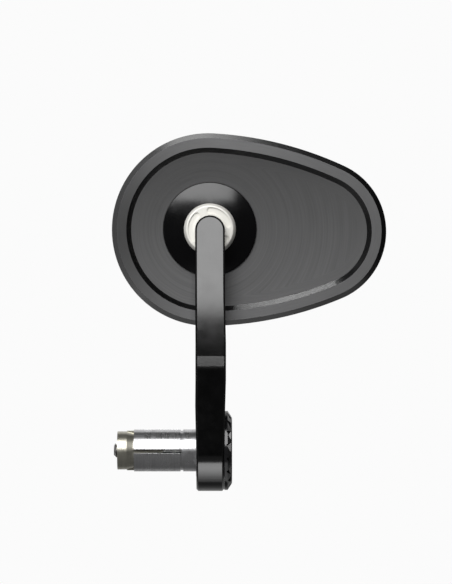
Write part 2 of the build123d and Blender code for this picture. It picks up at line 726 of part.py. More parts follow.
os.makedirs("parts", exist_ok=True)
for name, piece in pieces.items():
    export_step(piece, f"parts/{name}.step")
print(f"ball centre {ball_x:.3f}, {ball_y:.3f}, {ARM_LENGTH:.3f}")
print(f"head {head_thickness:.2f} thick")
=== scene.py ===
import json
from math import cos, pi, radians, sin, sqrt, tan

import bpy
from mathutils import Matrix, Vector


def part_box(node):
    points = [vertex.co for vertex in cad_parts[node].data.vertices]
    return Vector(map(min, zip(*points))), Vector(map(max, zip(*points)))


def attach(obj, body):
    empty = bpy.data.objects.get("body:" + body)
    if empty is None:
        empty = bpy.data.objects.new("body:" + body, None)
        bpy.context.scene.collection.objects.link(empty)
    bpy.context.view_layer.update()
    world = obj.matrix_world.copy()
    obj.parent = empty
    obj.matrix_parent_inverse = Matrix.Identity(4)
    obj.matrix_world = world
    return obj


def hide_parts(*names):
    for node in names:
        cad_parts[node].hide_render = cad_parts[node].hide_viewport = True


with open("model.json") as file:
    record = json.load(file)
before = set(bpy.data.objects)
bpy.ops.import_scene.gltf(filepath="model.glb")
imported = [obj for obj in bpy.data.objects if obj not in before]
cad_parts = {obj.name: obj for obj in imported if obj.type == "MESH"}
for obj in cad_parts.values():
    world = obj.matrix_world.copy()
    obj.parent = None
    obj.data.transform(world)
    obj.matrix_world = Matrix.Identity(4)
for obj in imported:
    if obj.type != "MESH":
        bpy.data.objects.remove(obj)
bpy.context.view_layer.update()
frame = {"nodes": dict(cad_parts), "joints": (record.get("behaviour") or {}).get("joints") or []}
scene = bpy.context.scene
for plain_colour in list(bpy.data.materials):
    bpy.data.materials.remove(plain_colour)

# Expander sleeve. Turned from bare aluminium bar, with a tapered mouth and four sawn slots.
# It spreads against the inside of the handlebar when the bolt draws the cone into it.
MM = 0.001
ALUMINIUM = (0.66, 0.66, 0.67, 1.0)
ALUMINIUM_DULL = (0.42, 0.42, 0.43, 1.0)
ALUMINIUM_ROUGHNESS = 0.3
ALUMINIUM_GROOVE_D = 0.004 * MM
LATHE_PITCH = 0.12 * MM
LATHE_BANDS = 0.13
LATHE_FINE_SHARE = 0.5
LATHE_TONE = (0.45, 1.0)
LATHE_SMUDGED = 0.4
LATHE_MARKED = 0.5
LATHE_ROUGHER = (-0.07, 0.14)
EDGE_R = 0.1 * MM
EDGE_SEEN = (0.995, 0.9)
EDGE_SAMPLES = 6
SMUDGE_SIZE = 14 * MM
SMUDGE_SEEN = (0.42, 0.66)
SMUDGE_PATCH = 3.5 * MM
SMUDGE_PATCH_SEEN = (0.3, 0.7)
SCRATCH_TURNS = (24, -57)
SCRATCH_W = 0.09 * MM
SCRATCH_STRETCH = (1.0, 0.02, 0.02)
SCRATCH_SEEN = (0.735, 0.79)
SCRATCH_AREA = 6 * MM
SCRATCH_AREA_SEEN = (0.5, 0.6)


def place(tree, kind, inputs=(), **options):
    """Add a shader node whose inputs are values or the outputs of other nodes."""
    node = tree.nodes.new("ShaderNode" + kind)
    for option, value in options.items():
        setattr(node, option, value)
    for name, value in dict(inputs).items():
        feed(tree, node.inputs[name], value)
    return node


def feed(tree, socket, value):
    """Link an output to a socket, or set the socket's own value."""
    if isinstance(value, bpy.types.NodeSocket):
        tree.links.new(value, socket)
    else:
        socket.default_value = value


def reckon(tree, operation, *values, clamp=False):
    """Number worked out by a Math node."""
    inputs = dict(enumerate(values))
    return place(tree, "Math", inputs, operation=operation, use_clamp=clamp).outputs[0]


def spread(tree, value, low, high, to_low=0.0, to_high=1.0):
    """Value moved from one range to another, and held inside it."""
    inputs = {"Value": value, "From Min": low, "From Max": high, "To Min": to_low, "To Max": to_high}
    return place(tree, "MapRange", inputs).outputs["Result"]


def mix_colours(tree, share, first, second):
    """Colour between two others; 6, 7 and 2 are the Mix node's colour sockets."""
    inputs = {0: share, 6: first, 7: second}
    return place(tree, "Mix", inputs, data_type="RGBA").outputs[2]


def speckle(tree, position, size, detail=2.0, roughness=0.5, stretch=(1.0, 1.0, 1.0)):
    """Cloudy noise whose lumps have a real size, in metres."""
    scaled = place(tree, "Mapping", {"Vector": position, "Scale": stretch}).outputs[0]
    inputs = {"Vector": scaled, "Scale": 1 / size, "Detail": detail, "Roughness": roughness}
    return place(tree, "TexNoise", inputs).outputs["Fac"]


def new_effect(name, inputs, outputs):
    """Node group with named sockets; gives its tree, the input node's sockets and the output node."""
    tree = bpy.data.node_groups.new(name, "ShaderNodeTree")
    for label, kind, value in inputs:
        socket = tree.interface.new_socket(label, in_out="INPUT", socket_type="NodeSocket" + kind)
        if value is not None:
            socket.default_value = value
    for label, kind in outputs:
        tree.interface.new_socket(label, in_out="OUTPUT", socket_type="NodeSocket" + kind)
    return tree, tree.nodes.new("NodeGroupInput").outputs, tree.nodes.new("NodeGroupOutput")


def use_effect(tree, group, inputs=()):
    """Place a node group in a material and give its outputs."""
    node = tree.nodes.new("ShaderNodeGroup")
    node.node_tree = group
    for name, value in dict(inputs).items():
        feed(tree, node.inputs[name], value)
    return node.outputs


def new_finish(name, constants):
    """Material with a Principled BSDF; gives its tree, the shader and the position on the piece."""
    material = bpy.data.materials.new(name)
    material.use_nodes = True
    tree = material.node_tree
    shader = tree.nodes["Principled BSDF"]
    for label, value in constants.items():
        shader.inputs[label].default_value = value
    where = tree.nodes.new("ShaderNodeTexCoord").outputs["Object"]
    return tree, shader, where


def bump(tree, shader, height, depth, over=None):
    """Relief of a real depth, in metres, laid over the normal that is given."""
    inputs = {"Height": height, "Distance": depth, "Strength": 1.0}
    if over is not None:
        inputs["Normal"] = over
    feed(tree, shader.inputs["Normal"], place(tree, "Bump", inputs).outputs[0])


def dress(material_name, *nodes):
    """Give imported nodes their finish."""
    for node in nodes:
        slots = frame["nodes"][node].data.materials
        slots.clear()
        slots.append(bpy.data.materials[material_name])


def make_edge_break():
    """Softened edges: the rounded normal, and a mask of where the edge is."""
    tree, inputs, out = new_effect(
        "softened_edges", [("Radius", "Float", EDGE_R)], [("Edge", "Float"), ("Normal", "Vector")])
    radius = inputs["Radius"]
    rounded = place(tree, "Bevel", {"Radius": radius}, samples=EDGE_SAMPLES).outputs[0]
    flat = place(tree, "NewGeometry").outputs["Normal"]
    agreement = place(tree, "VectorMath", {0: rounded, 1: flat}, operation="DOT_PRODUCT").outputs["Value"]
    feed(tree, out.inputs["Edge"], spread(tree, agreement, *EDGE_SEEN))
    feed(tree, out.inputs["Normal"], rounded)
    return tree


def make_turning_marks():
    """Fine grooves of a lathe tool, for a piece turned about the X axis through the origin."""
    tree, inputs, out = new_effect(
        "turning_marks",
        [("Position", "Vector", None), ("Pitch", "Float", LATHE_PITCH)],
        [("Height", "Float"), ("Tone", "Float")])
    axes = place(tree, "SeparateXYZ", {0: inputs["Position"]}).outputs
    across = place(tree, "CombineXYZ", {"Y": axes["Y"], "Z": axes["Z"]}).outputs[0]
    radius = place(tree, "VectorMath", {0: across}, operation="LENGTH").outputs["Value"]
    along = reckon(tree, "DIVIDE", axes["X"], inputs["Pitch"])
    outward = reckon(tree, "DIVIDE", radius, inputs["Pitch"])
    cut = place(tree, "CombineXYZ", {"X": along, "Y": outward}).outputs[0]
    fine = place(tree, "TexNoise", {"Vector": cut, "Scale": 1.0, "Detail": 1.0}).outputs["Fac"]
    broad = place(tree, "TexNoise", {"Vector": cut, "Scale": LATHE_BANDS, "Detail": 2.0}).outputs["Fac"]
    feed(tree, out.inputs["Height"], fine)
    both = reckon(tree, "MULTIPLY_ADD", fine, LATHE_FINE_SHARE, broad)
    feed(tree, out.inputs["Tone"], spread(tree, both, *LATHE_TONE))
    return tree


def make_handling():
    """Traces of use: greasy smudges, and hairline scratches that run two ways."""
    tree, inputs, out = new_effect(
        "handling", [("Position", "Vector", None)], [("Smudge", "Float"), ("Scratch", "Float")])
    position = inputs["Position"]
    cloud = speckle(tree, position, SMUDGE_SIZE, detail=3.0, roughness=0.55)
    patches = speckle(tree, position, SMUDGE_PATCH, detail=2.0)
    patchy = spread(tree, patches, *SMUDGE_PATCH_SEEN)
    smudge = reckon(tree, "MULTIPLY", spread(tree, cloud, *SMUDGE_SEEN), patchy)
    feed(tree, out.inputs["Smudge"], smudge)
    lines = []
    for turn in SCRATCH_TURNS:
        turned = place(tree, "VectorRotate", {"Vector": position, "Angle": radians(turn)},
                       rotation_type="Y_AXIS").outputs[0]
        streaks = speckle(tree, turned, SCRATCH_W, detail=0.0, stretch=SCRATCH_STRETCH)
        area = speckle(tree, turned, SCRATCH_AREA, detail=1.0)
        hairlines = spread(tree, streaks, *SCRATCH_SEEN)
        scratched = spread(tree, area, *SCRATCH_AREA_SEEN)
        lines.append(reckon(tree, "MULTIPLY", hairlines, scratched))
    feed(tree, out.inputs["Scratch"], reckon(tree, "MAXIMUM", *lines))
    return tree


softened_edges = make_edge_break()
turning_marks = make_turning_marks()
handling = make_handling()


def finish_turned(
        name, colour, dull, roughness, groove, pitch=LATHE_PITCH, edge=EDGE_R, metallic=1.0, to_axis=None):
    """Bare metal from a lathe: grooves in tone and relief, dull patches, bright edges."""
    tree, shader, where = new_finish(name, {"Metallic": metallic})
    position = to_axis(tree, where) if to_axis else where
    marks = use_effect(tree, turning_marks, {"Position": position, "Pitch": pitch})
    use = use_effect(tree, handling, {"Position": where})
    edges = use_effect(tree, softened_edges, {"Radius": edge})
    marked = reckon(tree, "MULTIPLY", marks["Tone"], LATHE_MARKED)
    dullness = reckon(tree, "MULTIPLY_ADD", use["Smudge"], LATHE_SMUDGED, marked)
    dulled = reckon(tree, "SUBTRACT", dullness, edges["Edge"], clamp=True)
    feed(tree, shader.inputs["Base Color"], mix_colours(tree, dulled, colour, dull))
    rough = spread(tree, dullness, 0.0, 1.0, *(roughness + more for more in LATHE_ROUGHER))
    feed(tree, shader.inputs["Roughness"], rough)
    bump(tree, shader, marks["Height"], groove, edges["Normal"])


finish_turned(
    "turned_aluminium", ALUMINIUM, ALUMINIUM_DULL, ALUMINIUM_ROUGHNESS, ALUMINIUM_GROOVE_D)
dress("turned_aluminium", "expander_sleeve")

# Expander cone. Steel nut with a tapered nose and two keys, zinc-plated against rust, so it
# has a faint yellow sheen. The keys ride in the sleeve's slots and stop it from turning.
ZINC = (0.60, 0.585, 0.50, 1.0)
ZINC_DULL = (0.36, 0.34, 0.29, 1.0)
ZINC_ROUGHNESS = 0.34
ZINC_GROOVE_D = 0.003 * MM
ZINC_PITCH = 0.2 * MM

finish_turned("zinc_plate", ZINC, ZINC_DULL, ZINC_ROUGHNESS, ZINC_GROOVE_D, pitch=ZINC_PITCH)
dress("zinc_plate", "expander_cone")

# Expander bolt and washer. A bought socket-head bolt with a cut thread at its end, screwed
# through the cap's spigot and the hub into the cone, and a plain ground washer under its head.
STEEL = (0.46, 0.455, 0.45, 1.0)
STEEL_DULL = (0.24, 0.235, 0.23, 1.0)
STEEL_ROUGHNESS = 0.33
STEEL_EDGE_R = 0.07 * MM
STEEL_MOTTLE = 0.8 * MM
STEEL_MOTTLED = (0.3, 0.75)
STEEL_SMUDGED = 0.4
STEEL_SCRATCHED = 0.6
STEEL_GRAIN = 0.12 * MM
STEEL_GRAIN_D = 0.003 * MM
STEEL_ROUGHER = (-0.08, 0.12)
THREAD_SIDES = 36
THREAD_ROWS = 10
THREAD_DEPTH = 0.61
THREAD_FLANK = 1.15
THREAD_CREST = 0.08
HEAD_EDGE = 0.08
HEX_BEVEL = 0.06
DRILL_R = 0.1
DRILL_DEPTH = 0.12
SHARP_ANGLE = radians(38)


def thread_radius(height, turn, radius, pitch, run_out):
    """Radius of a V thread at a height and an angle; it fades into the shank and at the tip."""
    phase = (height / pitch - turn) % 1.0
    ridge = abs(2 * phase - 1)
    cut = THREAD_DEPTH * pitch * min(1.0, max(0.0, THREAD_FLANK * (1 - ridge) - THREAD_CREST))
    fade = min(1.0, run_out / pitch)
    return radius - cut * max(0.0, fade)


def make_screw(name, radius, length, head_r, head_h, thread_l, pitch, hex_w, hex_d):
    """Socket-head screw along +Z: thread from its tip at z 0, head on top, hexagon sunk in it."""
    rings = []

    def ring(height, radii):
        rings.append([(r * cos(2 * pi * i / THREAD_SIDES), r * sin(2 * pi * i / THREAD_SIDES), height)
                      for i, r in enumerate(radii)])

    tip_chamfer = 0.5 * pitch
    ring(0.0, [radius - pitch] * THREAD_SIDES)
    rows = int(thread_l / pitch * THREAD_ROWS)
    for row in range(rows + 1):
        height = tip_chamfer + (thread_l - tip_chamfer) * row / rows
        ring(height, [
            thread_radius(height, i / THREAD_SIDES, radius, pitch, thread_l - height)
            for i in range(THREAD_SIDES)])
    edge = HEAD_EDGE * head_r
    ring(length - head_h, [radius] * THREAD_SIDES)
    ring(length - head_h, [head_r - edge / 2] * THREAD_SIDES)
    ring(length - head_h + edge / 2, [head_r] * THREAD_SIDES)
    ring(length - edge, [head_r] * THREAD_SIDES)
    ring(length, [head_r - edge] * THREAD_SIDES)

    def hexagon(i, width):
        angle = 2 * pi * i / THREAD_SIDES
        nearest = (angle + pi / 6) % (pi / 3) - pi / 6
        return width / 2 / cos(nearest)

    bevel = HEX_BEVEL * hex_w
    for height, width in ((length, hex_w + bevel), (length - bevel / 2, hex_w), (length - hex_d, hex_w)):
        ring(height, [hexagon(i, width) for i in range(THREAD_SIDES)])
    ring(length - hex_d - DRILL_DEPTH * hex_w, [DRILL_R * hex_w] * THREAD_SIDES)

    points = [point for one in rings for point in one]
    faces = []
    for level in range(len(rings) - 1):
        low, high = level * THREAD_SIDES, (level + 1) * THREAD_SIDES
        for i in range(THREAD_SIDES):
            j = (i + 1) % THREAD_SIDES
            faces.append((low + i, low + j, high + j, high + i))
    faces.append(tuple(reversed(range(THREAD_SIDES))))
    faces.append(tuple(range(len(points) - THREAD_SIDES, len(points))))
    mesh = bpy.data.meshes.new(name)
    mesh.from_pydata(points, [], faces)
    mesh.validate()
    mesh.shade_smooth()
    mesh.set_sharp_from_angle(angle=SHARP_ANGLE)
    screw = bpy.data.objects.new(name, mesh)
    scene.collection.objects.link(screw)
    return screw


def finish_steel(name, colour, dull, roughness):
    """Ground or rolled steel with an oily film: mottled tone, scratches, bright edges."""
    tree, shader, where = new_finish(name, {"Metallic": 1.0})
    use = use_effect(tree, handling, {"Position": where})
    edges = use_effect(tree, softened_edges, {"Radius": STEEL_EDGE_R})
    mottle = speckle(tree, where, STEEL_MOTTLE, detail=4.0, roughness=0.6)
    grain = speckle(tree, where, STEEL_GRAIN, detail=2.0)
    mottled = spread(tree, mottle, *STEEL_MOTTLED)
    tone = reckon(tree, "MULTIPLY_ADD", use["Smudge"], STEEL_SMUDGED, mottled)
    scratched = reckon(tree, "MULTIPLY", use["Scratch"], STEEL_SCRATCHED)
    worn = reckon(tree, "MAXIMUM", edges["Edge"], scratched)
    shade = reckon(tree, "SUBTRACT", tone, worn, clamp=True)
    feed(tree, shader.inputs["Base Color"], mix_colours(tree, shade, colour, dull))
    rough = spread(tree, tone, 0.0, 1.2, *(roughness + more for more in STEEL_ROUGHER))
    feed(tree, shader.inputs["Roughness"], rough)
    bump(tree, shader, grain, STEEL_GRAIN_D, edges["Normal"])


finish_steel("screw_steel", STEEL, STEEL_DULL, STEEL_ROUGHNESS)
bolt_low, bolt_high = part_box("expander_bolt")
expander_bolt = make_screw(
    "threaded_expander_bolt",
    radius=3.0 * MM,
    length=bolt_high.x - bolt_low.x,
    head_r=5.0 * MM,
    head_h=6.0 * MM,
    thread_l=16.0 * MM,
    pitch=1.0 * MM,
    hex_w=5.0 * MM,
    hex_d=3.0 * MM,
)
expander_bolt.matrix_world = Matrix.Translation((bolt_low.x, 0, 0)) @ Matrix.Rotation(pi / 2, 4, "Y")
expander_bolt.data.materials.append(bpy.data.materials["screw_steel"])
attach(expander_bolt, "bar_end")
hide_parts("expander_bolt")
dress("screw_steel", "bolt_washer")

# Bar-end hub. Turned from bare aluminium; its inner face seats on the handlebar's end, and
# the arm's clamp ring grips its outside.
dress("turned_aluminium", "bar_end_hub")

# Arm. Milled from aluminium plate with its clamp ring in one piece, then blasted fine and
# anodised black. Its lower end is split and pinched by one screw, its top pad carries the ball.
ARM_BLACK = (0.0006, 0.0006, 0.00065, 1.0)
ARM_WORN = (0.012, 0.012, 0.0125, 1.0)
ANODISED_IOR = 1.6
ANODISED_EDGE_R = 0.12 * MM
ANODISED_ROUGHER = (-0.02, 0.05)
BLASTED_GRAIN = 0.06 * MM
DYE_CLOUD = 9 * MM
DYE_TONE = (0.3, 0.7)
EDGE_RUBBED = (0.1, 0.9, 0.3, 1.0)
SCRATCH_WEAR = 0.35
DULLED_BY = 0.5


def make_blasted_grain():
    """Satin of fine blasting under an anodised layer: grain, and slow changes of the dye."""
    tree, inputs, out = new_effect(
        "blasted_grain",
        [("Position", "Vector", None), ("Grain", "Float", BLASTED_GRAIN)],
        [("Height", "Float"), ("Tone", "Float")])
    closer = reckon(tree, "DIVIDE", 1.0, inputs["Grain"])
    grain = place(tree, "TexNoise", {
        "Vector": inputs["Position"], "Scale": closer, "Detail": 2.0, "Roughness": 0.6})
    feed(tree, out.inputs["Height"], grain.outputs["Fac"])
    cloud = speckle(tree, inputs["Position"], DYE_CLOUD, detail=3.0)
    feed(tree, out.inputs["Tone"], spread(tree, cloud, *DYE_TONE))
    return tree


blasted_grain = make_blasted_grain()


def finish_anodised(name, black, worn, ior, roughness, grain, depth, edge_wear, edge=ANODISED_EDGE_R):
    """Black anodised aluminium: grain in relief, dye a little uneven, edges rubbed paler."""
    tree, shader, where = new_finish(name, {"IOR": ior})
    surface = use_effect(tree, blasted_grain, {"Position": where, "Grain": grain})
    use = use_effect(tree, handling, {"Position": where})
    edges = use_effect(tree, softened_edges, {"Radius": edge})
    rubbed = reckon(tree, "MULTIPLY", edges["Edge"], spread(tree, surface["Tone"], *EDGE_RUBBED))
    traces = reckon(tree, "MULTIPLY", use["Scratch"], SCRATCH_WEAR)
    wear = reckon(tree, "MULTIPLY", reckon(tree, "MAXIMUM", rubbed, traces), edge_wear)
    feed(tree, shader.inputs["Base Color"], mix_colours(tree, wear, black, worn))
    toned = reckon(tree, "MULTIPLY", surface["Tone"], DULLED_BY)
    dulling = reckon(tree, "MULTIPLY_ADD", use["Smudge"], DULLED_BY, toned)
    rough = spread(tree, dulling, 0.0, 1.0, *(roughness + more for more in ANODISED_ROUGHER))
    feed(tree, shader.inputs["Roughness"], rough)
    bump(tree, shader, surface["Height"], depth, edges["Normal"])


finish_anodised(
    "arm_anodised", ARM_BLACK, ARM_WORN, ANODISED_IOR, roughness=0.165, grain=0.07 * MM,
    depth=0.0012 * MM, edge_wear=0.8)
dress("arm_anodised", "arm")

# Clamp screw. Bought socket-head screw of blackened steel, sunk in the upper lug and threaded
# into the lower one; it pinches the split ring on the hub.
OXIDE_BLACK = (0.045, 0.044, 0.045, 1.0)
OXIDE_WORN = (0.011, 0.011, 0.012, 1.0)
OXIDE_ROUGHNESS = 0.38

finish_steel("black_oxide", OXIDE_BLACK, OXIDE_WORN, OXIDE_ROUGHNESS)
screw_low, screw_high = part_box("clamp_screw")
screw_middle = (screw_low + screw_high) / 2
clamp_screw = make_screw(
    "threaded_clamp_screw",
    radius=2.5 * MM,
    length=screw_high.z - screw_low.z,
    head_r=(screw_high.x - screw_low.x) / 2,
    head_h=5.0 * MM,
    thread_l=10.0 * MM,
    pitch=0.8 * MM,
    hex_w=4.0 * MM,
    hex_d=2.5 * MM,
)
clamp_screw.matrix_world = Matrix.Translation((screw_middle.x, screw_middle.y, screw_low.z))
clamp_screw.data.materials.append(bpy.data.materials["black_oxide"])
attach(clamp_screw, "arm")
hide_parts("clamp_screw")

# End cap and its seal. Turned from aluminium, with skewed notches milled round its bevel, and
# anodised black; a rubber ring in the spigot's groove holds it in the hub's mouth.
CAP_BLACK = (0.004, 0.004, 0.0043, 1.0)
CAP_WORN = (0.03, 0.03, 0.031, 1.0)
CAP_IOR = 1.3
RUBBER = (0.012, 0.012, 0.012, 1.0)
RUBBER_BLOOM = (0.035, 0.035, 0.034, 1.0)
BLOOM_SIZE = 2.2 * MM
BLOOM_SEEN = (0.4, 0.8)
SOFT_SHEEN = 0.35
SOFT_SPREAD = (0.3, 0.7)
SOFT_ROUGHER = (-0.1, 0.1)

finish_anodised(
    "cap_anodised", CAP_BLACK, CAP_WORN, CAP_IOR, roughness=0.14, grain=0.05 * MM,
    depth=0.0006 * MM, edge_wear=0.6, edge=0.05 * MM)
dress("cap_anodised", "end_cap")


def finish_soft(name, dark, pale, roughness, size, depth):
    """Rubber or foam: fine pits, with a paler bloom in patches."""
    tree, shader, where = new_finish(name, {"Specular IOR Level": SOFT_SHEEN})
    bloom = speckle(tree, where, BLOOM_SIZE, detail=4.0, roughness=0.6)
    pits = place(tree, "TexVoronoi", {"Vector": where, "Scale": 1 / size}).outputs["Distance"]
    bloomed = spread(tree, bloom, *BLOOM_SEEN)
    feed(tree, shader.inputs["Base Color"], mix_colours(tree, bloomed, dark, pale))
    rough = spread(tree, bloom, *SOFT_SPREAD, *(roughness + more for more in SOFT_ROUGHER))
    feed(tree, shader.inputs["Roughness"], rough)
    bump(tree, shader, pits, depth)


finish_soft("seal_rubber", RUBBER, RUBBER_BLOOM, roughness=0.5, size=0.12 * MM, depth=0.006 * MM)
dress("seal_rubber", "cap_o_ring")

# Joint ball with its screw and dowel. Turned steel, satin, with a flat face and three kidney
# pockets; the screw comes from inside the ball into the arm's pad and the dowel stops it turning.
BALL_STEEL = (0.96, 0.945, 0.885, 1.0)
BALL_DULL = (0.86, 0.845, 0.79, 1.0)

liner_joint = next(joint for joint in frame["joints"] if joint["name"] == "head_tilt")
ball_centre = Vector(liner_joint["pos_m"])


def ball_axis_as_x(tree, where):
    """Position from the ball's centre, turned so that the ball's own axis lies along X."""
    shift = place(tree, "VectorMath", {0: where, 1: tuple(ball_centre)}, operation="SUBTRACT").outputs[0]
    inputs = {"Vector": shift, "Angle": -pi / 2}
    return place(tree, "VectorRotate", inputs, rotation_type="Z_AXIS").outputs[0]


finish_turned(
    "satin_ball_steel", BALL_STEEL, BALL_DULL, roughness=0.5, groove=0.0015 * MM, pitch=0.05 * MM,
    edge=0.12 * MM, metallic=0.2, to_axis=ball_axis_as_x)
dress("satin_ball_steel", "joint_ball")
dress("screw_steel", "ball_screw", "ball_dowel")

# Ball liner and pressure cup. Self-lubricating plastic, off-white: a thin belt round the ball
# and a ring with a spherical seat, which give the joint its even drag.
PLASTIC = (0.74, 0.72, 0.66, 1.0)
PLASTIC_DIRTY = (0.52, 0.49, 0.43, 1.0)
PLASTIC_GLOW = {"Subsurface Weight": 0.06, "Subsurface Scale": 0.5 * MM}
PLASTIC_SMUDGED = 0.6
PLASTIC_MARKED = 0.35
PLASTIC_ROUGH = (0.42, 0.58)
PLASTIC_PITCH = 0.2 * MM
PLASTIC_GROOVE_D = 0.004 * MM


def finish_plastic():
    """Moulded plastic with a faint sheen, greyed where it rubs on the metal."""
    tree, shader, where = new_finish("liner_plastic", PLASTIC_GLOW)
    inputs = {"Position": ball_axis_as_x(tree, where), "Pitch": PLASTIC_PITCH}
    marks = use_effect(tree, turning_marks, inputs)
    use = use_effect(tree, handling, {"Position": where})
    marked = reckon(tree, "MULTIPLY", marks["Tone"], PLASTIC_MARKED)
    rubbed = reckon(tree, "MULTIPLY_ADD", use["Smudge"], PLASTIC_SMUDGED, marked)
    feed(tree, shader.inputs["Base Color"], mix_colours(tree, rubbed, PLASTIC, PLASTIC_DIRTY))
    feed(tree, shader.inputs["Roughness"], spread(tree, rubbed, 0.0, 1.0, *PLASTIC_ROUGH))
    bump(tree, shader, marks["Height"], PLASTIC_GROOVE_D)


finish_plastic()
dress("liner_plastic", "ball_liner", "pressure_cup")

# Disc spring, socket ring and its screws. The spring is pressed from oiled spring steel. The
# ring is turned to a low dome, polished and anodised black, and three screws hold it.
SPRING_STEEL = (0.33, 0.31, 0.28, 1.0)
SPRING_OIL = (0.15, 0.135, 0.11, 1.0)
SPRING_ROUGHNESS = 0.3
DOME_BLACK = (0.0028, 0.0028, 0.0031, 1.0)
DOME_WORN = (0.02, 0.02, 0.021, 1.0)
DOME_IOR = 1.48

finish_steel("oiled_spring_steel", SPRING_STEEL, SPRING_OIL, SPRING_ROUGHNESS)
dress("oiled_spring_steel", "cup_spring")
dress("screw_steel", "socket_screws")
finish_anodised(
    "dome_anodised", DOME_BLACK, DOME_WORN, DOME_IOR, roughness=0.13, grain=0.05 * MM,
    depth=0.0006 * MM, edge_wear=0.5)
dress("dome_anodised", "socket_ring")

# Head body. Milled from aluminium plate and anodised black: bright chamfer, flat rim with fine
# marks along its edge, sloped step, and a floor on which the cutter left its path.
TIP_R = 30.4 * MM
FLANK_R = 150.0 * MM
HEAD_ROLL = radians(1.08)
CHAMFER_W = 2.0 * MM
RIM_END = 6.1 * MM
STEP_END = 8.1 * MM
SOCKET_RING_R = 19.5 * MM
HEAD_BLACK = (0.0025, 0.0025, 0.0027, 1.0)
HEAD_RUBBED = (0.09, 0.09, 0.092, 1.0)
# Ends of the grey ramp that carries the painted light of rim and floor.
PAINTED_GREY_DARK = (0.0, 0.0, 0.0, 1.0)
PAINTED_GREY_PALE = (0.985, 0.985, 1.0, 1.0)
MARKS_NOISE = (0.25, 0.75)
PATH_STEP = 3.3 * MM
PATH_WANDER = 12 * MM
PATH_WAVE = 0.5
DOME_WANDER = 2 * MM
DOME_PASSES = (1.5 * MM, 5 * MM)
PASS_W = 0.7 * MM
PASS_L = 40 * MM
PASS_CONTRAST = 0.18
STREAK_W = 0.11 * MM
STREAK_L = 9 * MM
STREAK_CONTRAST = 0.18
# Painted light on the floor: its grey is brighter towards the bottom and darker on the left, under the
# milling ripple.
FLOOR_SHADE_LEFT = 0.35
FLOOR_LIGHT_LEAN = (-30 * MM, 32 * MM)
FLOOR_PAINTED_LIGHT = (0.024, 0.098)
# Painted light on the rim: its grey is brighter at top and bottom and on the right, under the fine marks.
RIM_PAINTED_LIGHT = 0.052
RIM_PAINTED_TOP_BOTTOM = 0.068
RIM_PAINTED_RIGHT = 0.032
HEAD_ROUGH = (0.22, 0.42)
HEAD_GRAIN = 0.09 * MM
HEAD_FACING = -0.99
HEAD_EDGE_RUBBED = 0.35
HEAD_SCRATCHED = 0.1
HEAD_SMUDGED = -0.03
HEAD_DULLED = 0.02
GRAIN_SHARE = (0.06, 0.6)
PATH_SHARE = 4.0
HEAD_RELIEF = 0.002 * MM

head_low, head_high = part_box("head_body")
lobe_r = (head_high.z - head_low.z) / 2
lobe_at = Vector((head_low.x + lobe_r, 0, (head_high.z + head_low.z) / 2))
lobe_to_tip = (head_high.x - TIP_R - lobe_at.x) / cos(HEAD_ROLL)


